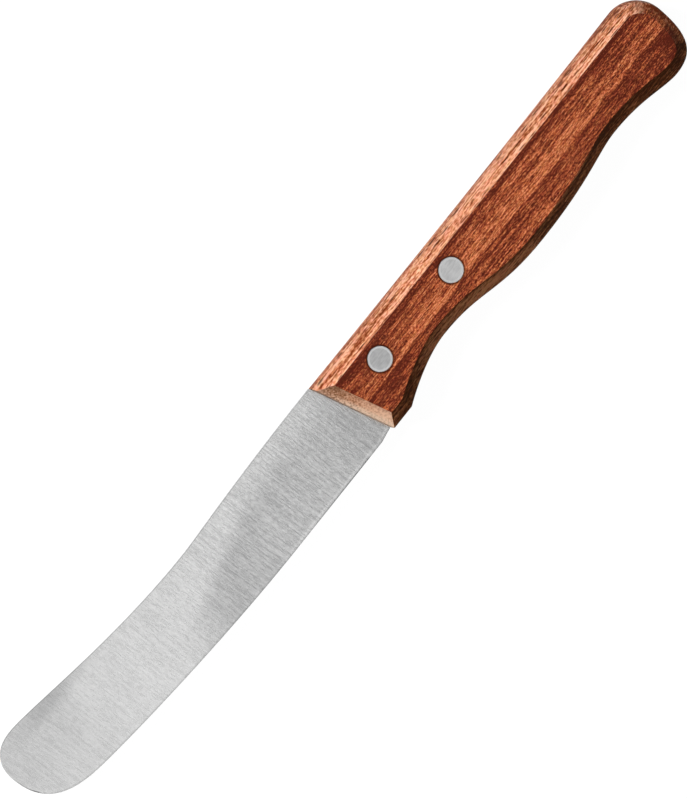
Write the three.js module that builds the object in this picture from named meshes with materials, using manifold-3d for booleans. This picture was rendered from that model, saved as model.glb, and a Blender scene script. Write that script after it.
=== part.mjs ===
// Butter knife with an upswept round tip. The ground steel blade has a half tang that sits in a blind slot
// of the one-piece wooden handle, and two cutler's rivets go through wood and tang and hold them together.
// Millimetres, +Z up. The knife lies on one flat of its handle: +X runs to the butt, +Y to the back.
import * as THREE from "three";
import { mergeVertices } from "three/addons/utils/BufferGeometryUtils.js";
import Module from "manifold-3d";

// Blade seen from the side, measured from the front corner of the wood and from the line of its back
const BLADE_LENGTH = 107;
const BLADE_WIDTH = 20.31;
const TIP_DROP = 3.1;
const TIP_RISE = 4.27;
const TIP_CROWN = 7.5;
const TIP_FLAT = 1.2;
const HOLLOW_REACH = 45.4;
const HOLLOW_DEPTH = 1.2;
const EDGE_STRAIGHT = 29.4;
const EDGE_TURN_REACH = 91.4;
const EDGE_TURN_DEPTH = 16.51;
const EDGE_TURN_SLOPE = 0.125;
const HEEL_LIFT = 0.65;
const HEEL_LENGTH = 3.2;

// Blade in section
const STOCK_THICKNESS = 1.2;
const TIP_THICKNESS = 0.45;
const SHOULDER_THICKNESS = 0.24;
const EDGE_THICKNESS = 0.1;
const BEVEL_WIDTH = 0.6;
const BACK_BREAK = 0.12;
const GRIND_SWELL = 0.05;

// Tang inside the handle, above and below the line of the rivets; its tail runs on past the rear rivet
const TANG_RISE = 3.4;
const TANG_FALL = 4.6;
const TANG_TAIL = 9;
const TANG_CORNER = 1.5;
const GRIND_RUNOUT = 4;

// Handle seen from the side: its back lies a step below the blade's, and depths are taken from that back
const BACK_STEP = 0.9;
const BACK_HOLLOW = 0.25;
const HANDLE_LENGTH = 113.2;
const HANDLE_THICKNESS = 12;
const FRONT_SLANT = THREE.MathUtils.degToRad(14.4);
const LIP_DEPTH = 18.72;
const LIP_LENGTH = 6.1;
const LIP_SLOPE = 0.45;
const WAIST_REACH = 27.8;
const WAIST_DEPTH = 14.3;
const SWELL_REACH = 58;
const SWELL_DEPTH = 18.3;
const REAR_WAIST_SETBACK = 27.2;
const REAR_WAIST_DEPTH = 15.9;
const POMMEL_SETBACK = 7.8;
const POMMEL_DEPTH = 18.7;
const BUTT_CORNER = 6.8;

// Chamfers round both faces of the handle, narrower at its middle, and the crown of the edge between them
const CHAMFER_DEPTH = 2;
const BACK_CHAMFER = 1.95;
const BELLY_CHAMFER = 3.25;
const FRONT_CHAMFER = 2.72;
const BUTT_CHAMFER = 2.6;
const BUTT_HOLD = 8;
const CHAMFER_DIP = 0.5;
const EDGE_CROWN = 0.6;

// Rivets
const RIVET_REACH = 14.1;
const RIVET_SPACING = 25;
const RIVET_DEPTH = 6.15;
const HEAD_DIAMETER = 5.75;
const HEAD_DEPTH = 1.8;
const PIN_DIAMETER = 2.4;
const PIN_LEAD = 0.3;
const SLEEVE_WALL = 0.57;

// Fits
const SHOULDER_GAP = 0.1;
const SLOT_CLEARANCE = 0.1;
const SLOT_RUNOUT = 1;
const SLOT_SPARE = 0.4;
const HEAD_CLEARANCE = 0.06;
const SLEEVE_CLEARANCE = 0.15;
const PIN_CLEARANCE = 0.03;
const SLEEVE_END_GAP = 0.6;
const PIN_END_GAP = 0.5;

// Fineness of the curves
const BLADE_STATIONS = 54;
const TIP_CROWDING = 1.7;
const GRIND_STEPS = 5;
const CURVE_STEPS = 16;
const CROWN_STEPS = 6;
const ROUND_STEPS = 48;

const HALF_HANDLE = HANDLE_THICKNESS / 2;
const HALF_EDGE = HALF_HANDLE - CHAMFER_DEPTH;
const HANDLE_BACK = -BACK_STEP;
const RIVET_LINE = HANDLE_BACK - RIVET_DEPTH;
const RIVET_PLACES = [RIVET_REACH, RIVET_REACH + RIVET_SPACING];
const TANG_TOP = RIVET_LINE + TANG_RISE;
const TANG_BOTTOM = RIVET_LINE - TANG_FALL;
const TANG_LENGTH = RIVET_REACH + RIVET_SPACING + TANG_TAIL;
const SLEEVE_DIAMETER = PIN_DIAMETER + 2 * (PIN_CLEARANCE + SLEEVE_WALL);

const wasm = await Module();
wasm.setup();

// Closed solid of a three.js geometry, ready to be joined or cut
function solidOf(geometry) {
  const bare = geometry.clone();
  bare.deleteAttribute("normal");
  bare.deleteAttribute("uv");
  const merged = mergeVertices(bare, 1e-5);
  return new wasm.Manifold(new wasm.Mesh({
    numProp: 3,
    vertProperties: new Float32Array(merged.attributes.position.array),
    triVerts: new Uint32Array(merged.index.array),
  }));
}

// Geometry of a finished solid, moved so that the origin lies on the resting flat between the rivets
function placedGeometry(solid) {
  const mesh = solid.getMesh();
  const geometry = new THREE.BufferGeometry();
  geometry.setAttribute("position", new THREE.BufferAttribute(new Float32Array(mesh.vertProperties), 3));
  geometry.setIndex(new THREE.BufferAttribute(new Uint32Array(mesh.triVerts), 1));
  geometry.translate(-RIVET_REACH - RIVET_SPACING / 2, -RIVET_LINE, HALF_HANDLE);
  return geometry;
}

// Skin over a row of rings with equal numbers of points; the first and last rings are capped
function loft(rings, capTriangles) {
  const count = rings[0].length;
  const last = count * (rings.length - 1);
  const triangles = [];
  for (let start = 0; start < last; start += count) {
    for (let i = 0; i < count; i += 1) {
      const here = start + i;
      const next = start + (i + 1) % count;
      triangles.push(here, next, next + count);
      triangles.push(here, next + count, here + count);
    }
  }
  for (const [a, b, c] of capTriangles) {
    triangles.push(a, c, b);
    triangles.push(last + a, last + b, last + c);
  }
  const geometry = new THREE.BufferGeometry().setFromPoints(rings.flat());
  geometry.setIndex(triangles);
  return geometry;
}

// Flat plate of a plan shape, centred on the plane of the blade
function plate(shape, thickness) {
  const geometry = new THREE.ExtrudeGeometry(shape, {
    depth: thickness,
    bevelEnabled: false,
    curveSegments: CURVE_STEPS,
  });
  geometry.translate(0, 0, -thickness / 2);
  return solidOf(geometry);
}

// Round bar across the handle at a rivet's place, between two heights
function crossBar(reach, diameter, low, high) {
  const geometry = new THREE.CylinderGeometry(diameter / 2, diameter / 2, high - low, ROUND_STEPS);
  geometry.rotateX(Math.PI / 2);
  geometry.translate(reach, RIVET_LINE, (low + high) / 2);
  return solidOf(geometry);
}

// Place along the slanted front of the handle, at a height and a distance behind that front
function onFront(y, behind) {
  return new THREE.Vector2((HANDLE_BACK - y) * Math.tan(FRONT_SLANT) + behind, y);
}

// Handle outline, anticlockwise: down the front, along the belly, round the butt and back along the top
const lipFront = onFront(HANDLE_BACK - LIP_DEPTH, 0);
const lipRear = new THREE.Vector2(lipFront.x + LIP_LENGTH, lipFront.y);
const waist = new THREE.Vector2(WAIST_REACH, HANDLE_BACK - WAIST_DEPTH);
const swell = new THREE.Vector2(SWELL_REACH, HANDLE_BACK - SWELL_DEPTH);
const rearWaist = new THREE.Vector2(HANDLE_LENGTH - REAR_WAIST_SETBACK, HANDLE_BACK - REAR_WAIST_DEPTH);
const pommel = new THREE.Vector2(HANDLE_LENGTH - POMMEL_SETBACK, HANDLE_BACK - POMMEL_DEPTH);
const buttEnd = new THREE.Vector2(HANDLE_LENGTH, HANDLE_BACK - BUTT_CORNER);
const backEnd = new THREE.Vector2(HANDLE_LENGTH - BUTT_CORNER, HANDLE_BACK);

// Level-to-level wave of the belly; the pulls say how far each end stays level
function waveTo(shape, from, to, fromPull, toPull) {
  const run = to.x - from.x;
  shape.bezierCurveTo(from.x + run * fromPull, from.y, to.x - run * toPull, to.y, to.x, to.y);
}

function handlePlan() {
  const shape = new THREE.Shape();
  shape.moveTo(0, HANDLE_BACK);
  shape.lineTo(lipFront.x, lipFront.y);
  shape.lineTo(lipRear.x, lipRear.y);
  const rise = waist.x - lipRear.x;
  const lipPull = 0.29 * rise;
  const waistPull = 0.31 * rise;
  shape.bezierCurveTo(
    lipRear.x + lipPull, lipRear.y + lipPull * LIP_SLOPE,
    waist.x - waistPull, waist.y,
    waist.x, waist.y,
  );
  waveTo(shape, waist, swell, 0.42, 0.51);
  waveTo(shape, swell, rearWaist, 0.6, 0.2);
  waveTo(shape, rearWaist, pommel, 0.52, 0.22);
  const buttRise = buttEnd.y - pommel.y;
  shape.bezierCurveTo(
    pommel.x + POMMEL_SETBACK * 0.87, pommel.y,
    buttEnd.x, buttEnd.y - buttRise * 0.57,
    buttEnd.x, buttEnd.y,
  );
  shape.absarc(backEnd.x, buttEnd.y, BUTT_CORNER, 0, Math.PI / 2, false);
  shape.quadraticCurveTo(backEnd.x / 2, HANDLE_BACK - 2 * BACK_HOLLOW, 0, HANDLE_BACK);
  return shape;
}

const handleOutline = handlePlan().getPoints(CURVE_STEPS).slice(0, -1);

function isFrontEdge(from, to) {
  return to.y < from.y && to.x <= lipFront.x;
}

// Width of the chamfer along an edge of the outline; that of the butt holds nearly up to the back
function chamferWidth(from, to) {
  if (isFrontEdge(from, to)) {
    return FRONT_CHAMFER;
  }
  const middle = from.clone().add(to).multiplyScalar(0.5);
  const dip = CHAMFER_DIP * Math.sin(Math.PI * middle.x / HANDLE_LENGTH);
  if (middle.x < pommel.x) {
    return (middle.y > swell.y / 2 ? BACK_CHAMFER : BELLY_CHAMFER) - dip;
  }
  const climb = THREE.MathUtils.clamp((middle.y - pommel.y) / (HANDLE_BACK - pommel.y), 0, 1);
  const butt = THREE.MathUtils.lerp(BELLY_CHAMFER, BUTT_CHAMFER, Math.sqrt(climb));
  return THREE.MathUtils.lerp(butt, BACK_CHAMFER, climb ** BUTT_HOLD) - dip;
}

// Outline with every edge moved inwards by a width of its own, corners mitred
function movedOutline(outline, widthOf) {
  const count = outline.length;
  const edges = outline.map((from, i) => {
    const to = outline[(i + 1) % count];
    const along = to.clone().sub(from).normalize();
    return { inward: new THREE.Vector2(-along.y, along.x), width: widthOf(from, to) };
  });
  return outline.map((corner, i) => {
    const before = edges[(i + count - 1) % count];
    const after = edges[i];
    const turn = before.inward.cross(after.inward);
    if (Math.abs(turn) < 0.2) {
      const width = (before.width + after.width) / 2;
      const inward = before.inward.clone().add(after.inward).normalize();
      return corner.clone().addScaledVector(inward, width);
    }
    const x = (before.width * after.inward.y - after.width * before.inward.y) / turn;
    const y = (after.width * before.inward.x - before.width * after.inward.x) / turn;
    return new THREE.Vector2(corner.x + x, corner.y + y);
  });
}

// Outline of the handle's edge at a height: crowned all round but for the flat front
function crownedOutline(height) {
  const bulge = EDGE_CROWN * (1 - (height / HALF_EDGE) ** 2);
  return movedOutline(handleOutline, (from, to) => (isFrontEdge(from, to) ? 0 : -bulge));
}

// Handle body: chamfer, crowned edge and chamfer, skinned between the two flats
const faceOutline = movedOutline(handleOutline, chamferWidth);
const handleLevels = [[faceOutline, -HALF_HANDLE]];
for (let i = 0; i <= CROWN_STEPS; i += 1) {
  const height = THREE.MathUtils.lerp(-HALF_EDGE, HALF_EDGE, i / CROWN_STEPS);
  handleLevels.push([crownedOutline(height), height]);
}
handleLevels.push([faceOutline, HALF_HANDLE]);
const handleRings = handleLevels.map(([outline, height]) =>
  outline.map((point) => new THREE.Vector3(point.x, point.y, height)));
const handleBody = solidOf(loft(handleRings, THREE.ShapeUtils.triangulateShape(faceOutline, [])));

// Blind slot for the tang, open at the front only
function slotPlan() {
  const start = -HANDLE_THICKNESS;
  const end = TANG_LENGTH + SLOT_RUNOUT - TANG_CORNER;
  const top = TANG_TOP + SLOT_SPARE;
  const bottom = TANG_BOTTOM - SLOT_SPARE;
  const shape = new THREE.Shape();
  shape.moveTo(start, top);
  shape.lineTo(start, bottom);
  shape.lineTo(end, bottom);
  shape.absarc(end, bottom + TANG_CORNER, TANG_CORNER, -Math.PI / 2, 0, false);
  shape.absarc(end, top - TANG_CORNER, TANG_CORNER, 0, Math.PI / 2, false);
  shape.closePath();
  return shape;
}

let handleSolid = handleBody.subtract(plate(slotPlan(), STOCK_THICKNESS + 2 * SLOT_CLEARANCE));
for (const reach of RIVET_PLACES) {
  const seat = HEAD_DIAMETER + 2 * HEAD_CLEARANCE;
  const bore = SLEEVE_DIAMETER + 2 * SLEEVE_CLEARANCE;
  const seatFloor = HALF_HANDLE - HEAD_DEPTH;
  handleSolid = handleSolid.subtract(crossBar(reach, bore, -HANDLE_THICKNESS, HANDLE_THICKNESS));
  handleSolid = handleSolid.subtract(crossBar(reach, seat, seatFloor, HANDLE_THICKNESS));
  handleSolid = handleSolid.subtract(crossBar(reach, seat, -HANDLE_THICKNESS, -seatFloor));
}

// Back of the blade from the tip's foremost point over its crown and the hollow to the wood
const tipEnd = new THREE.Vector2(-BLADE_LENGTH, -TIP_DROP);
const crown = new THREE.Vector2(TIP_CROWN - BLADE_LENGTH, TIP_RISE);
const hollow = new THREE.Vector2(-HOLLOW_REACH, -HOLLOW_DEPTH);
const backHeel = onFront(0, -SHOULDER_GAP);

function backCurve() {
  const path = new THREE.Path();
  const climb = crown.y - tipEnd.y;
  const fall = hollow.x - crown.x;
  const run = backHeel.x - hollow.x;
  path.moveTo(tipEnd.x, tipEnd.y);
  path.bezierCurveTo(
    tipEnd.x, tipEnd.y + climb * 0.57,
    crown.x - TIP_CROWN * 0.73, crown.y,
    crown.x, crown.y,
  );
  path.bezierCurveTo(crown.x + fall * 0.12, crown.y, hollow.x - fall * 0.46, hollow.y, hollow.x, hollow.y);
  path.bezierCurveTo(
    hollow.x + run * 0.1, hollow.y,
    backHeel.x - run * 0.6, backHeel.y,
    backHeel.x, backHeel.y,
  );
  return path;
}

// Cutting edge from the same point round the belly and along the straight to the lifted heel
const edgeTurn = new THREE.Vector2(-EDGE_TURN_REACH, -EDGE_TURN_DEPTH);
const edgeFlat = new THREE.Vector2(-EDGE_STRAIGHT, -BLADE_WIDTH);
const edgeHeel = onFront(HEEL_LIFT - BLADE_WIDTH, -SHOULDER_GAP);

function edgeCurve() {
  const path = new THREE.Path();
  const round = edgeTurn.x - tipEnd.x;
  const drop = tipEnd.y - edgeTurn.y;
  const run = edgeFlat.x - edgeTurn.x;
  path.moveTo(tipEnd.x, tipEnd.y);
  path.bezierCurveTo(
    tipEnd.x, tipEnd.y - drop * 0.75,
    edgeTurn.x - round * 0.53, edgeTurn.y + round * 0.53 * EDGE_TURN_SLOPE,
    edgeTurn.x, edgeTurn.y,
  );
  path.bezierCurveTo(
    edgeTurn.x + run * 0.23, edgeTurn.y - run * 0.23 * EDGE_TURN_SLOPE,
    edgeFlat.x - run * 0.34, edgeFlat.y,
    edgeFlat.x, edgeFlat.y,
  );
  path.lineTo(edgeHeel.x - HEEL_LENGTH, edgeFlat.y);
  path.quadraticCurveTo(edgeHeel.x - HEEL_LENGTH / 2, edgeFlat.y, edgeHeel.x, edgeHeel.y);
  return path;
}

// Section of the blade between a point of its back and a point of its edge: broken back corners,
// a slightly swelled grind and the honed bevel, mirrored to the other side
function bladeRing(back, edge, thickness) {
  const width = back.distanceTo(edge);
  const half = thickness.back / 2;
  const ground = width - BACK_BREAK - BEVEL_WIDTH;
  const profile = [[0, half - Math.min(BACK_BREAK, half / 2)]];
  for (let i = 0; i <= GRIND_STEPS; i += 1) {
    const share = i / GRIND_STEPS;
    const swelling = 4 * thickness.swell * share * (1 - share);
    const height = THREE.MathUtils.lerp(half, thickness.shoulder / 2, share) + swelling;
    profile.push([BACK_BREAK + ground * share, height]);
  }
  profile.push([width, thickness.edge / 2]);
  const near = profile.map(([reach, height]) => {
    const point = back.clone().lerp(edge, reach / width);
    return new THREE.Vector3(point.x, point.y, height);
  });
  const far = near.map((point) => new THREE.Vector3(point.x, point.y, -point.z));
  return [...near, ...far.reverse()];
}

// Ground part: rings from the tip to the wood, closer together round the tip
const backPath = backCurve();
const edgePath = edgeCurve();
const tipShare = TIP_FLAT / 2 / BLADE_LENGTH;
const bladeRings = [];
for (let i = 0; i <= BLADE_STATIONS; i += 1) {
  const share = THREE.MathUtils.lerp(tipShare, 1, (i / BLADE_STATIONS) ** TIP_CROWDING);
  bladeRings.push(bladeRing(backPath.getPointAt(share), edgePath.getPointAt(share), {
    back: THREE.MathUtils.lerp(TIP_THICKNESS, STOCK_THICKNESS, share),
    shoulder: SHOULDER_THICKNESS,
    edge: EDGE_THICKNESS,
    swell: GRIND_SWELL,
  }));
}

// Thickness of the ground part at a height, where it meets the wood
function groundThickness(y) {
  return THREE.MathUtils.lerp(STOCK_THICKNESS, SHOULDER_THICKNESS, -y / BLADE_WIDTH);
}

// Flat section with broken corners, as thick as the given back and belly
function tangRing(top, bottom, topThickness, bottomThickness) {
  return bladeRing(top, bottom, {
    back: topThickness,
    shoulder: bottomThickness,
    edge: bottomThickness - 2 * BACK_BREAK,
    swell: 0,
  });
}

// Tang: it leaves the square shoulders as thick as the grind, then swells to full stock inside the slot
bladeRings.push(tangRing(
  onFront(TANG_TOP, 0),
  onFront(TANG_BOTTOM, 0),
  groundThickness(TANG_TOP),
  groundThickness(TANG_BOTTOM),
));
for (const [reach, inset] of [
  [onFront(TANG_BOTTOM, GRIND_RUNOUT).x, 0],
  [TANG_LENGTH - TANG_CORNER, 0],
  [TANG_LENGTH, TANG_CORNER],
]) {
  const top = new THREE.Vector2(reach, TANG_TOP - inset);
  const bottom = new THREE.Vector2(reach, TANG_BOTTOM + inset);
  bladeRings.push(tangRing(top, bottom, STOCK_THICKNESS, STOCK_THICKNESS));
}

const ringSize = bladeRings[0].length;
const bladeCap = [];
for (let i = 0; i + 1 < ringSize / 2; i += 1) {
  const mirror = ringSize - 1 - i;
  bladeCap.push([i, i + 1, mirror - 1]);
  bladeCap.push([i, mirror - 1, mirror]);
}
let bladeSolid = solidOf(loft(bladeRings, bladeCap));
for (const reach of RIVET_PLACES) {
  const hole = SLEEVE_DIAMETER + 2 * SLEEVE_CLEARANCE;
  bladeSolid = bladeSolid.subtract(crossBar(reach, hole, -STOCK_THICKNESS, STOCK_THICKNESS));
}

// Turned rivet half, its profile given as radius and height
function turned(profile, reach) {
  const points = profile.map(([radius, height]) => new THREE.Vector2(radius, height));
  const geometry = new THREE.LatheGeometry(points, ROUND_STEPS);
  geometry.rotateX(Math.PI / 2);
  geometry.translate(reach, RIVET_LINE, 0);
  return solidOf(geometry);
}

const headRadius = HEAD_DIAMETER / 2;
const headFloor = HALF_HANDLE - HEAD_DEPTH;
const sleeveRadius = SLEEVE_DIAMETER / 2;
const pinRadius = PIN_DIAMETER / 2;
const boreRadius = pinRadius + PIN_CLEARANCE;
const pinEnd = headFloor - PIN_END_GAP;
const sleeveEnd = SLEEVE_END_GAP - headFloor;

// Solid half, pressed in from the resting side
const pinProfile = [
  [0, -HALF_HANDLE],
  [headRadius, -HALF_HANDLE],
  [headRadius, -headFloor],
  [pinRadius, -headFloor],
  [pinRadius, pinEnd - PIN_LEAD],
  [pinRadius - PIN_LEAD, pinEnd],
  [0, pinEnd],
];

// Hollow half, pressed in from the upper side
const sleeveProfile = [
  [0, headFloor],
  [boreRadius, headFloor],
  [boreRadius, sleeveEnd],
  [sleeveRadius, sleeveEnd],
  [sleeveRadius, headFloor],
  [headRadius, headFloor],
  [headRadius, HALF_HANDLE],
  [0, HALF_HANDLE],
];

const steel = new THREE.MeshStandardMaterial({ color: 0xc8c8c6, roughness: 0.38, metalness: 1 });
const wood = new THREE.MeshStandardMaterial({ color: 0x8c4f33, roughness: 0.62, metalness: 0 });
const aluminium = new THREE.MeshStandardMaterial({ color: 0xb4b4b3, roughness: 0.45, metalness: 1 });

const knife = new THREE.Group();
knife.name = "butter_knife";

function addPiece(name, solid, material) {
  const mesh = new THREE.Mesh(placedGeometry(solid), material);
  mesh.name = name;
  knife.add(mesh);
}

addPiece("blade", bladeSolid, steel);
addPiece("handle", handleSolid, wood);
["front", "rear"].forEach((place, i) => {
  addPiece(`${place}_rivet_pin`, turned(pinProfile, RIVET_PLACES[i]), aluminium);
  addPiece(`${place}_rivet_sleeve`, turned(sleeveProfile, RIVET_PLACES[i]), aluminium);
});

export default knife;
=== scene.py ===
import math

import bmesh
import bpy
from mathutils import Matrix, Vector


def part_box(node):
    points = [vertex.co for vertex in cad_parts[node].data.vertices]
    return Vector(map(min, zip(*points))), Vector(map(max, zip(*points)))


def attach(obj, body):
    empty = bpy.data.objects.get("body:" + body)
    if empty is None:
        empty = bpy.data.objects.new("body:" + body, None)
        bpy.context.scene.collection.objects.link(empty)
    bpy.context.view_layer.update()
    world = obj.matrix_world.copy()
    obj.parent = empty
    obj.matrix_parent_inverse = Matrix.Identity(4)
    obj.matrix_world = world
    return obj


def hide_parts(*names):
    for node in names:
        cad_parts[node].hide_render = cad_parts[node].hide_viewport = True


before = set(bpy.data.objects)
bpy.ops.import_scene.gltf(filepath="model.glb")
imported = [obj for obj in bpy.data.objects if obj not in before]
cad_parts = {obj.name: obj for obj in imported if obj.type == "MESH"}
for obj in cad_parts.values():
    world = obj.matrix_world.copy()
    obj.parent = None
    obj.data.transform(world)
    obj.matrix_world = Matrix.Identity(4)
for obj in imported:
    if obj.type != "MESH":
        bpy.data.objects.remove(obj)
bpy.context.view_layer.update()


# Blade: one length of stainless strip, ground to a wedge and honed to a narrow bevel. The grinding leaves fine
# lines across it, and the blanked back is rougher. Painted reflection and shade darken the steel at the rear,
# the tip and the back, with a painted highlight on the honed bevel and painted shade along its edge. A half
# tang at its rear sits in the slot of the handle.
MM = 1000.0
WELD = 2e-6
FLAT_TURN = math.radians(0.05)
BLADE_CREASE = math.radians(8.5)
STEEL_LIGHT = (0.8, 0.8, 0.797, 1)
STEEL_DARK = (0.4, 0.4, 0.402, 1)
MIX_FIRST, MIX_SECOND, MIX_RESULT = 6, 7, 2


def packed_shape(node):
    shape = bmesh.new()
    shape.from_mesh(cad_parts[node].data)
    bmesh.ops.remove_doubles(shape, verts=shape.verts, dist=WELD)
    bmesh.ops.dissolve_limit(shape, angle_limit=FLAT_TURN, verts=shape.verts, edges=shape.edges)
    return shape


def finished_piece(name, shape, material, node, crease):
    for edge in shape.edges:
        edge.smooth = edge.is_manifold and edge.calc_face_angle() < crease
    for face in shape.faces:
        face.smooth = True
    mesh = bpy.data.meshes.new(name)
    shape.to_mesh(mesh)
    shape.free()
    mesh.materials.append(material)
    piece = bpy.data.objects.new(name, mesh)
    bpy.context.collection.objects.link(piece)
    even = piece.modifiers.new("even_normals", "WEIGHTED_NORMAL")
    even.keep_sharp = True
    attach(piece, "root")
    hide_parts(node)


class Finish:
    """The nodes of a material, or of the studio's glow, with short calls for the kinds used here."""

    def __init__(self, owner, shader="Principled BSDF"):
        owner.use_nodes = True
        self.nodes = owner.node_tree.nodes
        self.links = owner.node_tree.links
        self.shader = self.nodes[shader].inputs

    def add(self, kind, **settings):
        node = self.nodes.new(kind)
        for key, value in settings.items():
            setattr(node, key, value)
        return node

    def feed(self, socket, value):
        if isinstance(value, bpy.types.NodeSocket):
            self.links.new(value, socket)
        else:
            socket.default_value = value

    def chain(self, kind, operation, first, others):
        for other in others:
            node = self.add(kind, operation=operation)
            self.feed(node.inputs[0], first)
            self.feed(node.inputs[1], other)
            first = node.outputs[0]
        return first

    def plus(self, first, *others):
        return self.chain("ShaderNodeMath", "ADD", first, others)

    def minus(self, first, *others):
        return self.chain("ShaderNodeMath", "SUBTRACT", first, others)

    def times(self, first, *others):
        return self.chain("ShaderNodeMath", "MULTIPLY", first, others)

    def most(self, first, *others):
        return self.chain("ShaderNodeMath", "MAXIMUM", first, others)

    def mean(self, first, second, share):
        return self.plus(self.times(first, 1 - share), self.times(second, share))

    def apart(self, value, place):
        node = self.add("ShaderNodeMath", operation="ABSOLUTE")
        self.feed(node.inputs[0], self.minus(value, place))
        return node.outputs[0]

    def scaled(self, vector, factors):
        return self.chain("ShaderNodeVectorMath", "MULTIPLY", vector, [factors])

    def shifted(self, vector, step):
        return self.chain("ShaderNodeVectorMath", "ADD", vector, [step])

    def millimetres(self):
        return self.scaled(self.add("ShaderNodeTexCoord").outputs["Object"], (MM, MM, MM))

    def facing(self):
        return self.parts(self.add("ShaderNodeNewGeometry").outputs["Normal"])

    def parts(self, vector):
        node = self.add("ShaderNodeSeparateXYZ")
        self.feed(node.inputs[0], vector)
        return node.outputs

    def vector(self, x, y, z):
        node = self.add("ShaderNodeCombineXYZ")
        for socket, value in zip(node.inputs, (x, y, z)):
            self.feed(socket, value)
        return node.outputs[0]

    def nearness(self, vector, centre, reach):
        away = self.shifted(vector, tuple(-value for value in centre))
        node = self.add("ShaderNodeVectorMath", operation="LENGTH")
        self.feed(node.inputs[0], self.scaled(away, tuple(1 / value for value in reach)))
        return self.span(node.outputs["Value"], 1.0, 0.0)

    def noise(self, vector, scales, detail=1.0, roughness=0.5, colour=False):
        node = self.add("ShaderNodeTexNoise")
        self.feed(node.inputs["Vector"], self.scaled(vector, scales))
        node.inputs["Scale"].default_value = 1.0
        node.inputs["Detail"].default_value = detail
        node.inputs["Roughness"].default_value = roughness
        return node.outputs["Color" if colour else "Fac"]

    def cells(self, vector, scales):
        node = self.add("ShaderNodeTexVoronoi")
        self.feed(node.inputs["Vector"], self.scaled(vector, scales))
        node.inputs["Scale"].default_value = 1.0
        return node.outputs

    def span(self, value, low, high, out_low=0.0, out_high=1.0, smooth=True):
        """Turns low into out_low and high into out_high, eased between them, and holds beyond."""
        node = self.add("ShaderNodeMapRange")
        node.interpolation_type = "SMOOTHSTEP" if smooth else "LINEAR"
        self.feed(node.inputs["Value"], value)
        node.inputs["From Min"].default_value = low
        node.inputs["From Max"].default_value = high
        node.inputs["To Min"].default_value = out_low
        node.inputs["To Max"].default_value = out_high
        return node.outputs["Result"]

    def blend(self, share, first, second, mode="MIX"):
        node = self.add("ShaderNodeMix", data_type="RGBA", blend_type=mode)
        self.feed(node.inputs["Factor"], share)
        self.feed(node.inputs[MIX_FIRST], first)
        self.feed(node.inputs[MIX_SECOND], second)
        return node.outputs[MIX_RESULT]

    def ramp(self, value, colours, places=None):
        places = places or [i / (len(colours) - 1) for i in range(len(colours))]
        node = self.add("ShaderNodeValToRGB")
        self.feed(node.inputs["Fac"], value)
        stops = node.color_ramp.elements
        while len(stops) < len(colours):
            stops.new(0.5)
        for stop, place, colour in zip(stops, places, colours):
            stop.position = place
            stop.color = colour
        return node.outputs["Color"]

    def layers(self, value, tones):
        first, last = tones[0][0], tones[-1][0]
        places = [(place - first) / (last - first) for place, tone in tones]
        greys = [(tone, tone, tone, 1) for place, tone in tones]
        return self.ramp(self.span(value, first, last, smooth=False), greys, places)

    def relief(self, height, depth, strength):
        node = self.add("ShaderNodeBump")
        node.inputs["Strength"].default_value = strength
        node.inputs["Distance"].default_value = depth
        self.feed(node.inputs["Height"], height)
        self.links.new(node.outputs["Normal"], self.shader["Normal"])


blade_low, blade_high = (Vector(corner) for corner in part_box("blade"))
blade_middle = (blade_low.z + blade_high.z) / 2
ground_steel = bpy.data.materials.new("ground_steel")
steel = Finish(ground_steel)
place = steel.millimetres()
x, y, z = steel.parts(place)

# Ground lines, in waves per mm, fainter towards the tip, and slow clouds under them
GRIND_LEAN = 0.05
HAIRS = (3.6, 0.9, 0.9)
STROKES = (2.6, 0.12, 0.12)
STROKE_SHARE = 0.38
LINE_TONE = (0.2, 0.8, -0.5, 0.5)
LINE_FADE = (-105.0, -35.0, 0.1, 0.62)
CLOUD = (0.12, 0.06, 0.06)
CLOUD_TONE = (0.3, 0.7, 0.75, 0.83)
across = steel.vector(steel.plus(x, steel.times(y, GRIND_LEAN)), y, z)
lines = steel.mean(steel.noise(across, HAIRS), steel.noise(across, STROKES, detail=0.0), STROKE_SHARE)
scratches = steel.times(steel.span(lines, *LINE_TONE), steel.span(x, *LINE_FADE))
cloud = steel.noise(place, CLOUD, detail=2.0, roughness=0.55)
tone = steel.plus(scratches, steel.span(cloud, *CLOUD_TONE))

# Painted reflection and shade: reaches of the steel painted darker where its reflection falls off, at the
# rear, by the handle and at the tip, and painted shade along the back near the tip, each from one place in mm
# to another with the darkness there, the rear one slanted
REAR_SLANT = 3.0
SLANT_FLOOR = -6.0
REAR_REFLECTION_FADE = (-71.0, -56.0, 0.0, 0.42)
REAR_CLEARING = (-53.0, -31.0, 0.0, -0.15)
REAR_RISE = (-2.0, 6.0, 1.0, -0.1)
HANDLE_REFLECTION_FADE = (-37.0, -29.0, 0.0, 0.06)
TIP_REFLECTION_FADE = (-104.0, -118.0, 0.0, 0.13)
TIP_BACK_SHADE = (-108.0, -116.0, 0.0, 0.11)
TIP_BACK_RISE = (-4.0, 2.0)
PATCH_CENTRE = (-114.0, 9.0, 6.0)
PATCH_REACH = (18.0, 4.0, 9.0)
PATCH_SHADE = 0.36
BACK_TURN = (0.5, 0.8)
BACK_PAINTED_SHADE = 0.5
slant = steel.minus(x, steel.times(steel.most(y, SLANT_FLOOR), REAR_SLANT))
rear = steel.plus(steel.span(slant, *REAR_REFLECTION_FADE), steel.span(slant, *REAR_CLEARING))
rear = steel.times(rear, steel.span(y, *REAR_RISE))
patch = steel.times(steel.nearness(place, PATCH_CENTRE, PATCH_REACH), PATCH_SHADE)
tip_back = steel.times(steel.span(x, *TIP_BACK_SHADE), steel.span(y, *TIP_BACK_RISE))
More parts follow.
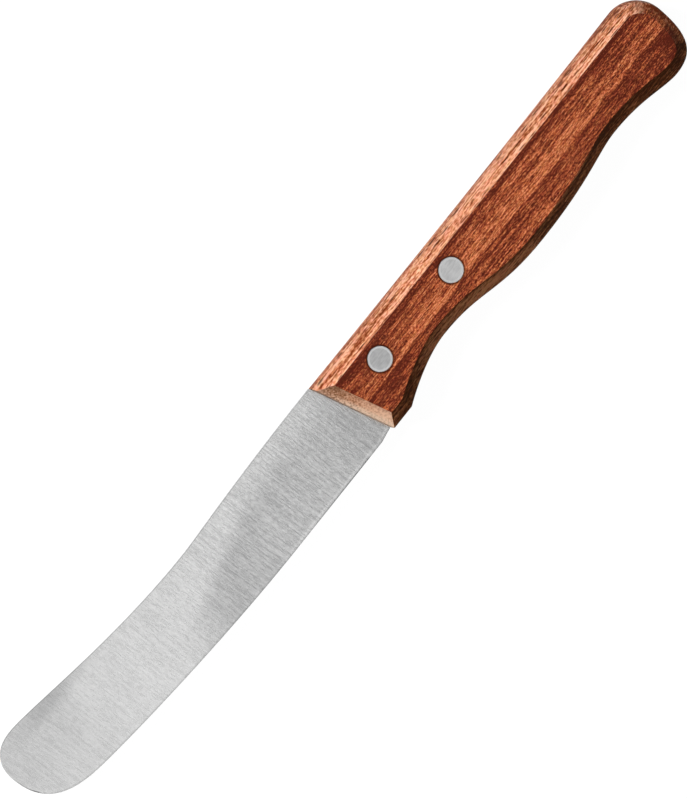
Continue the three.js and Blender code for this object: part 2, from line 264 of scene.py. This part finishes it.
# The blanked back is rougher, and its colour is painted darker as shade
back = steel.span(steel.facing()["Y"], *BACK_TURN)
painted_shade_reaches = steel.plus(rear, steel.span(x, *HANDLE_REFLECTION_FADE), patch, steel.span(x, *TIP_REFLECTION_FADE), tip_back)
tone = steel.minus(tone, painted_shade_reaches, steel.times(back, BACK_PAINTED_SHADE))

# Painted highlight on the honed bevel and painted shade along its edge, told by half the thickness in mm, with
# tones along the knife
HONED_THICK = (0.14, 0.12)
HONED_HIGHLIGHT = (-62.0, -50.0, 0.08, 0.42)
EDGE_THICK = (0.09, 0.065)
EDGE_SHADE = (-53.0, -38.0, 0.0, 0.9)
EDGE_END = (-29.0, -31.0)
half_thickness = steel.apart(z, blade_middle * MM)
painted_honed_highlight = steel.times(steel.span(half_thickness, *HONED_THICK), steel.span(x, *HONED_HIGHLIGHT))
painted_edge_shade = steel.times(
    steel.span(half_thickness, *EDGE_THICK), steel.span(x, *EDGE_SHADE), steel.span(x, *EDGE_END))
tone = steel.minus(steel.plus(tone, painted_honed_highlight), painted_edge_shade)

LINE_ROUGHNESS = (0.3, 0.7, 0.29, 0.23)
BACK_ROUGHNESS = 0.2
LINE_DEPTH = 0.00002
LINE_STRENGTH = 0.25
roughness = steel.plus(steel.span(lines, *LINE_ROUGHNESS), steel.times(back, BACK_ROUGHNESS))
steel.feed(steel.shader["Base Color"], steel.ramp(tone, (STEEL_DARK, STEEL_LIGHT)))
steel.feed(steel.shader["Metallic"], 1.0)
steel.feed(steel.shader["Roughness"], roughness)
steel.relief(lines, LINE_DEPTH, LINE_STRENGTH)

finished_piece("blade_steel", packed_shape("blade"), ground_steel, "blade", BLADE_CREASE)


# Handle: one block of red-brown stained beech, shaped along its belly, chamfered round both flats and
# sawn for the tang. Sanding eases its long edges, and its front is cut bare across the grain. Its colour
# carries painted sheen and highlight on its back, painted shade on its belly and flats, and painted light
# beside the blade.
ARRIS_ROUND = 0.00028
ARRIS_STEPS = 3
ARRIS_TURN = math.radians(12)
WOOD_CREASE = math.radians(30)
SLOT_CLEARANCE = 0.0001
RIVET_CLEARANCE = 0.0005
LEVEL_SLACK = 0.00002

handle_shape = packed_shape("handle")
low, high = (Vector(corner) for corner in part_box("handle"))
middle = (low.z + high.z) / 2
slot_half = (blade_high.z - blade_low.z) / 2 + SLOT_CLEARANCE
rivet_boxes = [[Vector(corner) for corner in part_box(node)] for node in ("front_rivet_pin", "rear_rivet_pin")]
rivet_centres = [(box_low + box_high) / 2 for box_low, box_high in rivet_boxes]
rivet_reach = (rivet_boxes[0][1].x - rivet_boxes[0][0].x) / 2 + RIVET_CLEARANCE


def on_skin(vertex):
    outside = abs(abs(vertex.co.z - middle) - slot_half) > LEVEL_SLACK
    return outside and all((vertex.co.xy - centre.xy).length > rivet_reach for centre in rivet_centres)


arrises = [
    edge for edge in handle_shape.edges
    if edge.is_convex and edge.calc_face_angle(0.0) > ARRIS_TURN and all(map(on_skin, edge.verts))]
bmesh.ops.bevel(
    handle_shape, geom=arrises, offset=ARRIS_ROUND, segments=ARRIS_STEPS, profile=0.5,
    affect="EDGES", clamp_overlap=True)

stained_beech = bpy.data.materials.new("stained_beech")
wood = Finish(stained_beech)
place = wood.millimetres()
x, y, z = wood.parts(place)
end_on, back_on, up_on = wood.facing()
level = wood.apart(up_on, 0.0)
height = wood.apart(z, middle * MM)

# Grain: a slow drift of the fibres, then streaks and grit in waves per mm, on the flats and on the sides
DRIFT = (0.03, 0.07, 0.07)
DRIFT_MIDDLE = (-0.5, -0.5, -0.5)
DRIFT_REACH = (0.0, 1.2, 1.2)
STREAKS = (0.22, 4.4, 0.7)
STREAK_TONE = (0.34, 0.66, -0.28, 0.26)
GRIT = (1.8, 5.4, 1.1)
GRIT_TONE = (0.34, 0.66, -0.38, 0.31)
SIDE_STREAKS = (0.1, 3.1, 1.4)
SIDE_STREAK_TONE = (0.34, 0.66, -0.34, 0.34)
SIDE_GRIT = (1.1, 3.8, 1.6)
SIDE_GRIT_TONE = (0.34, 0.66, -0.3, 0.3)
drift = wood.noise(place, DRIFT, detail=2.0, roughness=0.55, colour=True)
grain = wood.shifted(place, wood.scaled(wood.shifted(drift, DRIFT_MIDDLE), DRIFT_REACH))
streaks = wood.noise(grain, STREAKS)
grit = wood.noise(grain, GRIT)
texture = wood.plus(wood.span(streaks, *STREAK_TONE), wood.span(grit, *GRIT_TONE))
side_streaks = wood.noise(grain, SIDE_STREAKS)
side_grit = wood.noise(grain, SIDE_GRIT)
side_texture = wood.plus(wood.span(side_streaks, *SIDE_STREAK_TONE), wood.span(side_grit, *SIDE_GRIT_TONE))

# Flats: growth layers as (mm across the handle, tone), the first and darkest of them painted shade under the
# back's edge;
# darker at both ends, and painted shade in the butt's lower corner
STAIN = (
    (0.085, 0.014, 0.007, 1), (0.248, 0.051, 0.023, 1), (0.475, 0.118, 0.039, 1), (0.75, 0.265, 0.118, 1))
LAYERS = (
    (3.3, 0.06), (2.7, 0.45), (1.9, 0.44), (0.6, 0.37), (-0.8, 0.62), (-1.9, 0.55), (-2.8, 0.77),
    (-3.2, 0.6), (-3.5, 0.17), (-4.1, 0.2), (-5.2, 0.35), (-6.5, 0.28), (-7.9, 0.46))
LAYER_RISE = (-20.0, 15.0, 0.45, 0.0)
MID_LENGTH = 28.0
ENDS_DARK = (20.0, 50.0, 0.0, 0.18)
CORNER_SHADE = (78.5, 83.5, 0.0, 0.4)
CORNER_DROP = (-3.6, -5.2)
layer = wood.plus(wood.parts(grain)["Y"], wood.span(x, *LAYER_RISE))
ends = wood.span(wood.apart(x, MID_LENGTH), *ENDS_DARK)
# Painted shade in the butt's lower corner of each flat
corner = wood.times(wood.span(x, *CORNER_SHADE), wood.span(y, *CORNER_DROP))
tone = wood.minus(wood.plus(wood.layers(layer, LAYERS), texture), ends, corner)

# Butt's chamfer, which cuts the flat's own layers: the facings and the heights that bound it
END_CUT_END = (0.45, 0.59)
END_CUT_LEVEL = (0.55, 0.72)
END_CUT_BACK = (-0.4, -0.28)
END_CUT_HEIGHT = (4.5, 5.4)
END_CUT_TONE = 0.21
end_cut = wood.times(
    wood.span(end_on, *END_CUT_END), wood.span(level, *END_CUT_LEVEL),
    wood.span(back_on, *END_CUT_BACK), wood.span(height, *END_CUT_HEIGHT))
tone = wood.plus(tone, wood.times(end_cut, END_CUT_TONE))
colour = wood.ramp(tone, STAIN)

# Painted shade in a thin dark ring round each rivet's seat
SEAT_SHADE = (0.05, 0.008, 0.002, 1)
SEAT_SHADE_REACH = (3.7, 3.7, 30.0)
SEAT_SHADE_SHARE = (0.0, 0.09, 0.0, 0.9)
painted_seat_shade = 0.0
for centre in rivet_centres:
    ring = wood.nearness(place, (centre.x * MM, centre.y * MM, high.z * MM), SEAT_SHADE_REACH)
    painted_seat_shade = wood.most(painted_seat_shade, wood.span(ring, *SEAT_SHADE_SHARE))
colour = wood.blend(painted_seat_shade, colour, SEAT_SHADE)

# Back and butt: paler side grain with painted sheen over it, with growth layers as (mm from the middle, tone),
# painted shade at the butt and the rear, and a painted sheen along the back's chamfer
PALE_AND_SHEEN = ((0.17, 0.036, 0.011, 1), (0.53, 0.192, 0.093, 1), (0.76, 0.4, 0.26, 1))
SIDE_LAYERS = (
    (0.0, 0.33), (1.2, 0.37), (2.2, 0.52), (3.2, 0.68), (3.8, 0.58), (4.35, 0.25), (4.65, 0.42),
    (5.0, 0.53), (5.8, 0.68))
BUTT_END = (0.2, 0.6)
BUTT_DARK = (0.1, 0.5, 0.0, 0.38)
BUTT_BACK = (0.2, 0.4, 1.0, 0.6)
REAR_DARK = (68.0, 77.0, 0.0, 0.3)
REAR_HEIGHT = (3.6, 2.4)
SHEEN_START = (18.0, 28.0, 0.0, 0.08)
SHEEN_END = (62.0, 54.0)
SHEEN_FRONT = (-8.0, 2.0, -0.12, 0.0)
SHEEN_HEIGHT = (4.3, 4.8)
butt = wood.span(end_on, *BUTT_END)
butt_shade = wood.times(butt, wood.span(level, *BUTT_DARK), wood.span(back_on, *BUTT_BACK))
rear_shade = wood.times(wood.span(x, *REAR_DARK), wood.span(height, *REAR_HEIGHT))
# Painted sheen along the back's chamfer, less near the front
painted_sheen_run = wood.plus(wood.times(wood.span(x, *SHEEN_START), wood.span(x, *SHEEN_END)), wood.span(x, *SHEEN_FRONT))
side_tone = wood.minus(wood.plus(wood.layers(height, SIDE_LAYERS), side_texture), rear_shade, butt_shade)
side_tone = wood.plus(side_tone, wood.times(painted_sheen_run, wood.span(height, *SHEEN_HEIGHT)))

# Belly: browner wood with painted shade over it, lighter towards its edge as painted bounce light, with a
# lighter waist and palm swell, each by its middle in mm along the knife
BROWN_AND_SHADE = ((0.044, 0.011, 0.002, 1), (0.145, 0.047, 0.016, 1), (0.32, 0.126, 0.056, 1))
BELLY_TEXTURE = 0.9
BELLY_BOUNCE_LIGHT = (6.0, 4.2, 0.14, 0.54)
BELLY_REAR_DARK = (40.0, 70.0, 0.0, 0.25)
BELLY_END_LIGHT = (0.45, 0.53, 0.0, 0.5)
BELLY_MIDDLE_DARK = (4.2, 2.5, 0.0, 0.2)
WAIST_MIDDLE = 11.0
WAIST_LIGHT = (22.0, 14.0, 0.0, 0.56)
WAIST_HEIGHT = (5.95, 5.35)
OUTER_HEIGHT = (4.9, 4.5)
OUTER_DARK = (50.0, 30.0, 0.0, 0.14)
SWELL_MIDDLE = 42.0
SWELL_LIGHT = (12.0, 6.0, 0.0, 0.5)
SWELL_HEIGHT = (5.4, 5.9)
waist = wood.times(wood.span(wood.apart(x, WAIST_MIDDLE), *WAIST_LIGHT), wood.span(height, *WAIST_HEIGHT))
outer = wood.times(wood.span(height, *OUTER_HEIGHT), wood.span(x, *OUTER_DARK))
swell = wood.times(wood.span(wood.apart(x, SWELL_MIDDLE), *SWELL_LIGHT), wood.span(height, *SWELL_HEIGHT))
belly_tone = wood.plus(
    wood.times(side_texture, BELLY_TEXTURE), wood.span(height, *BELLY_BOUNCE_LIGHT),
    wood.span(end_on, *BELLY_END_LIGHT), waist, swell)
belly_tone = wood.minus(
    belly_tone, wood.span(x, *BELLY_REAR_DARK), wood.span(height, *BELLY_MIDDLE_DARK), outer)

# Sides joined to each other and to the flats, by the way that the surface faces
PALE_BUTT = (0.2, 0.5, 0.0, 0.22)
PALE_BACK = (-0.15, 0.25)
BACK_TILT = (0.0, 0.3, 0.0, 0.07)
SIDE_LEVEL = (0.93, 0.87)
pale_butt = wood.times(butt, wood.span(level, *PALE_BUTT))
pale = wood.span(wood.plus(back_on, pale_butt), *PALE_BACK)
side = wood.blend(pale, wood.ramp(belly_tone, BROWN_AND_SHADE), wood.ramp(side_tone, PALE_AND_SHEEN))
turned = wood.plus(level, wood.span(back_on, *BACK_TILT))
sideways = wood.times(wood.span(turned, *SIDE_LEVEL), wood.minus(1.0, end_cut))
colour = wood.blend(sideways, colour, side)

# Dark flecks, a drift of hue, and a painted highlight along the edge between back and flat
FLECK = (0.05, 0.01, 0.003, 1)
FLECKS = (0.25, 2.4, 0.7)
FLECK_PICK = (0.55, 0.75)
FLECK_BODY = (0.42, 0.24)
FLECK_SHARE = (0.93, 0.85, 0.42, 0.85)
HUES = (0.5, 2.5, 0.8)
HUE_SHARE = 0.2
ARRIS_HIGHLIGHT = (0.74, 0.42, 0.28, 1)
ARRIS_HIGHLIGHT_INNER = (0.89, 0.84)
ARRIS_HIGHLIGHT_OUTER = (0.71, 0.77)
ARRIS_HIGHLIGHT_BACK = (0.1, 0.3)
ARRIS_HIGHLIGHT_END = (0.56, 0.42)
ARRIS_HIGHLIGHT_SHARE = (0.35, 0.65, 0.2, 0.8)
cells = wood.cells(grain, FLECKS)
picked = wood.span(wood.parts(cells["Color"])["X"], *FLECK_PICK)
fleck = wood.times(wood.span(cells["Distance"], *FLECK_BODY), picked)
colour = wood.blend(wood.times(fleck, wood.span(level, *FLECK_SHARE)), colour, FLECK)
colour = wood.blend(HUE_SHARE, colour, wood.noise(grain, HUES, colour=True), "OVERLAY")
painted_arris_highlight = wood.times(
    wood.span(level, *ARRIS_HIGHLIGHT_INNER), wood.span(level, *ARRIS_HIGHLIGHT_OUTER),
    wood.span(back_on, *ARRIS_HIGHLIGHT_BACK), wood.span(end_on, *ARRIS_HIGHLIGHT_END), wood.span(streaks, *ARRIS_HIGHLIGHT_SHARE))
colour = wood.blend(painted_arris_highlight, colour, ARRIS_HIGHLIGHT)

# Bare front cut: end grain with pores, paler towards the belly and dark at its upper rim, with painted light
# beside the blade and painted shade towards the back
BARE = ((0.19, 0.088, 0.048, 1), (0.4, 0.19, 0.105, 1), (0.6, 0.37, 0.25, 1))
BARE_RISE = (6.5, -9.0)
PAINTED_EDGE_LIGHT = (0.58, 0.42, 0.31, 1)
BARE_EDGE_HEIGHT = (5.0, 4.2)
BARE_EDGE_RISE = (4.0, -2.0, 0.2, 0.9)
BARE_RIM = (0.33, 0.16, 0.1, 1)
BARE_RIM_SHARE = (5.0, 5.9, 0.0, 0.5)
BARE_PORE_AND_SHADE = (0.12, 0.05, 0.022, 1)
SPECKLE = (2.2, 2.6, 2.6)
LIGHT_SPECKS = (0.47, 0.37, 0.0, 0.55)
PORES = (0.49, 0.6)
PORE_RISE = (-8.0, 3.0, 0.35, 0.9)
SHADE_RISE = (-0.5, 3.5, 0.0, 0.6)
SHADE_HEIGHT = (4.6, 5.6)
FRONT_END = (-0.4, -0.55)
FRONT_LENGTH = 8.0
FRONT_FADE = 0.5
front_limit = low.x * MM + FRONT_LENGTH
front = wood.times(wood.span(end_on, *FRONT_END), wood.span(x, front_limit, front_limit - FRONT_FADE))
speckle = wood.noise(place, SPECKLE, detail=2.0, roughness=0.6)
painted_light_edge = wood.times(wood.span(height, *BARE_EDGE_HEIGHT), wood.span(y, *BARE_EDGE_RISE))
shade = wood.times(wood.span(y, *SHADE_RISE), wood.span(height, *SHADE_HEIGHT))
pores = wood.times(wood.span(speckle, *PORES), wood.span(y, *PORE_RISE))
bare = wood.ramp(wood.span(y, *BARE_RISE, smooth=False), BARE)
bare = wood.blend(painted_light_edge, bare, PAINTED_EDGE_LIGHT)
bare = wood.blend(wood.span(height, *BARE_RIM_SHARE), bare, BARE_RIM)
bare = wood.blend(wood.span(speckle, *LIGHT_SPECKS), bare, BARE[2])
bare = wood.blend(shade, bare, BARE_PORE_AND_SHADE)
bare = wood.blend(pores, bare, BARE_PORE_AND_SHADE)
colour = wood.blend(front, colour, bare)

WOOD_ROUGHNESS = (0.3, 0.7, 0.6, 0.46)
WOOD_SPECULAR = 0.04
FLECK_DEPTH = 0.6
GRAIN_DEPTH = 0.00006
GRAIN_STRENGTH = 0.5
wood.feed(wood.shader["Base Color"], colour)
wood.feed(wood.shader["Roughness"], wood.span(grit, *WOOD_ROUGHNESS))
wood.feed(wood.shader["Specular IOR Level"], WOOD_SPECULAR)
wood.relief(wood.minus(texture, wood.times(fleck, FLECK_DEPTH)), GRAIN_DEPTH, GRAIN_STRENGTH)

finished_piece("handle_beech", handle_shape, stained_beech, "handle", WOOD_CREASE)


# Rivets: two cutler's rivets of aluminium, each a solid pin pressed into a hollow sleeve. Their heads are
# ground flush with the wood, along the handle, and keep a broken rim with a painted highlight round it.
RIM_BREAK = 0.00012
RIM_STEPS = 2
RIVET_CREASE = math.radians(40)
ALUMINIUM_LIGHT = (0.9, 0.9, 0.9, 1)
ALUMINIUM_DARK = (0.66, 0.66, 0.664, 1)
HEAD_LINES = (0.7, 3.0, 3.0)
HEAD_CLOUD = (0.3, 0.3, 0.3)
HEAD_CLOUD_SHARE = 0.4
HEAD_TONE = (0.3, 0.7, 0.12, 0.88)
HEAD_WEAR = (-6.0, 6.0, -0.22, 0.22)
HEAD_ROUGHNESS = (0.3, 0.7, 0.44, 0.36)
HEAD_DEPTH = 0.00002
HEAD_STRENGTH = 0.2
RIM_HIGHLIGHT = (0.97, 0.97, 0.97, 1)
RIM_INNER = (0.11, 0.06)
RIM_OUTER = (0.0, 0.012)
ANY_HEIGHT = 1000.0

ground_aluminium = bpy.data.materials.new("ground_aluminium")
aluminium = Finish(ground_aluminium)
place = aluminium.millimetres()
lines = aluminium.noise(place, HEAD_LINES, detail=2.0, roughness=0.6)
cloud = aluminium.noise(place, HEAD_CLOUD, detail=2.0, roughness=0.55)
tone = aluminium.mean(lines, cloud, HEAD_CLOUD_SHARE)
wear = aluminium.span(aluminium.parts(place)["X"], *HEAD_WEAR)
shade = aluminium.plus(aluminium.span(tone, *HEAD_TONE), wear)
colour = aluminium.ramp(shade, (ALUMINIUM_DARK, ALUMINIUM_LIGHT))
# Painted highlight round the rim of each head
painted_rim_highlight = 0.0
for box_low, box_high in rivet_boxes:
    centre = (box_low + box_high) / 2 * MM
    radius = (box_high.x - box_low.x) / 2 * MM
    inward = aluminium.nearness(place, centre, (radius, radius, ANY_HEIGHT))
    near_rim = aluminium.times(aluminium.span(inward, *RIM_INNER), aluminium.span(inward, *RIM_OUTER))
    painted_rim_highlight = aluminium.most(painted_rim_highlight, near_rim)
aluminium.feed(aluminium.shader["Base Color"], aluminium.blend(painted_rim_highlight, colour, RIM_HIGHLIGHT))
aluminium.feed(aluminium.shader["Metallic"], 1.0)
aluminium.feed(aluminium.shader["Roughness"], aluminium.span(tone, *HEAD_ROUGHNESS))
aluminium.relief(lines, HEAD_DEPTH, HEAD_STRENGTH)


def on_flat(edge):
    return any(
        all(abs(vertex.co.z - flat) < LEVEL_SLACK for vertex in edge.verts) for flat in (low.z, high.z))


for node in ("front_rivet_pin", "front_rivet_sleeve", "rear_rivet_pin", "rear_rivet_sleeve"):
    rivet_shape = packed_shape(node)
    rims = [
        edge for edge in rivet_shape.edges
        if edge.calc_face_angle(0.0) > RIVET_CREASE and on_flat(edge)]
    bmesh.ops.bevel(
        rivet_shape, geom=rims, offset=RIM_BREAK, segments=RIM_STEPS, profile=0.5, affect="EDGES")
    finished_piece(node + "_aluminium", rivet_shape, ground_aluminium, node, RIVET_CREASE)


# Floor: a plain white table top just under the knife. It is nearly white to the camera and in the metal by
# a glow of its own, and takes a faint shadow.
FLOOR_SIZE = 4.0
FLOOR_DROP = 0.0003
FLOOR_COLOUR = (0.1, 0.1, 0.1, 1)
FLOOR_ROUGHNESS = 0.9
FLOOR_GLOW = 0.96
WHITE = (1, 1, 1, 1)

half = FLOOR_SIZE / 2
corners = ((-half, -half), (half, -half), (half, half), (-half, half))
floor_mesh = bpy.data.meshes.new("floor")
floor_mesh.from_pydata([(*corner, -FLOOR_DROP) for corner in corners], [], [(0, 1, 2, 3)])
floor = bpy.data.objects.new("floor", floor_mesh)
bpy.context.collection.objects.link(floor)
white_table_top = bpy.data.materials.new("white_table_top")
floor_mesh.materials.append(white_table_top)
table_top = Finish(white_table_top)
rays = table_top.add("ShaderNodeLightPath").outputs
seen = table_top.most(rays["Is Camera Ray"], rays["Is Glossy Ray"], rays["Is Transmission Ray"])
table_top.feed(table_top.shader["Base Color"], FLOOR_COLOUR)
table_top.feed(table_top.shader["Roughness"], FLOOR_ROUGHNESS)
table_top.feed(table_top.shader["Emission Color"], WHITE)
table_top.feed(table_top.shader["Emission Strength"], table_top.times(seen, FLOOR_GLOW))


# Light: a soft box on the side of the back and the tip, which the metal doesn't mirror, two level panels
# overhead that it does, and a dim studio round them, brighter behind the back and the tip. The studio's
# grey walls show in the metal only.
KEY_TURN = math.radians(36)
KEY_RISE = math.radians(38)
KEY_DISTANCE = 1.3
KEY_SIZE = 0.5
KEY_POWER = 23.5
PANEL_PLACE = Vector((-0.18, -0.21, 0.8))
PANEL_SIZE = (0.5, 0.36)
PANEL_POWER = 0.6
END_PANEL_PLACE = Vector((0.27, -0.18, 0.8))
END_PANEL_SIZE = (0.3, 0.3)
END_PANEL_POWER = 0.3
STUDIO_DIM = 0.04
STUDIO_SIDES = (("Y", 0.2, 0.95, 0.6), ("X", -0.3, -0.7, 0.5))
WALLS = (0.8, 0.5, 0.0, 0.8)


def soft_box(name, location, size, power):
    lamp = bpy.data.lights.new(name, "AREA")
    lamp.shape = "RECTANGLE"
    lamp.size, lamp.size_y = size
    lamp.energy = power
    box = bpy.data.objects.new(name, lamp)
    box.location = location
    bpy.context.collection.objects.link(box)
    return box


key_level = math.cos(KEY_RISE)
key_way = Vector((-math.sin(KEY_TURN) * key_level, math.cos(KEY_TURN) * key_level, math.sin(KEY_RISE)))
key_box = soft_box("key_box", key_way * KEY_DISTANCE, (KEY_SIZE, KEY_SIZE), KEY_POWER)
key_box.rotation_euler = (-key_way).to_track_quat("-Z", "Y").to_euler()
key_box.visible_glossy = False
soft_box("overhead_panel", PANEL_PLACE, PANEL_SIZE, PANEL_POWER)
soft_box("end_panel", END_PANEL_PLACE, END_PANEL_SIZE, END_PANEL_POWER)

world = bpy.data.worlds.new("studio")
bpy.context.scene.world = world
studio = Finish(world, "Background")
way = studio.parts(studio.add("ShaderNodeTexCoord").outputs["Generated"])
rays = studio.add("ShaderNodeLightPath").outputs
mirrored = studio.most(rays["Is Glossy Ray"], rays["Is Transmission Ray"])
walls = studio.times(mirrored, studio.span(way["Z"], *WALLS, smooth=False))
glow = studio.most(walls, rays["Is Camera Ray"])
for axis, start, end, peak in STUDIO_SIDES:
    glow = studio.most(glow, studio.span(way[axis], start, end, STUDIO_DIM, peak, smooth=False))
studio.feed(studio.shader["Color"], WHITE)
studio.feed(studio.shader["Strength"], glow)


# Camera: straight above the knife, leaning a little to the side of the back and to the tip, with a long
# lens. The picture is turned so that the handle points up to the right.
PICTURE_HEIGHT = 799
PIXEL = 0.0002185
AIM = Vector((-0.0238, -0.00055, 0.006))
LEAN_BACK = math.radians(12)
LEAN_TIP = math.radians(6)
TURN = math.radians(51.39)
DISTANCE = 1.6
SENSOR = 24.0

toward = Vector((-math.sin(LEAN_TIP), math.sin(LEAN_BACK), 0))
toward.z = math.sqrt(1 - toward.length_squared)
along = (Vector((1, 0, 0)) - toward * toward.x).normalized()
aside = toward.cross(along)
right = along * math.cos(TURN) - aside * math.sin(TURN)
up = along * math.sin(TURN) + aside * math.cos(TURN)
view_turn = Matrix((right, up, toward)).transposed().to_4x4()
camera_data = bpy.data.cameras.new("camera")
camera_data.sensor_fit = "VERTICAL"
camera_data.sensor_height = SENSOR
camera_data.lens = SENSOR * DISTANCE / (PICTURE_HEIGHT * PIXEL)
camera = bpy.data.objects.new("camera", camera_data)
camera.matrix_world = Matrix.Translation(AIM + toward * DISTANCE) @ view_turn
bpy.context.collection.objects.link(camera)
bpy.context.scene.camera = camera
bpy.context.scene.view_settings.view_transform = "Standard"
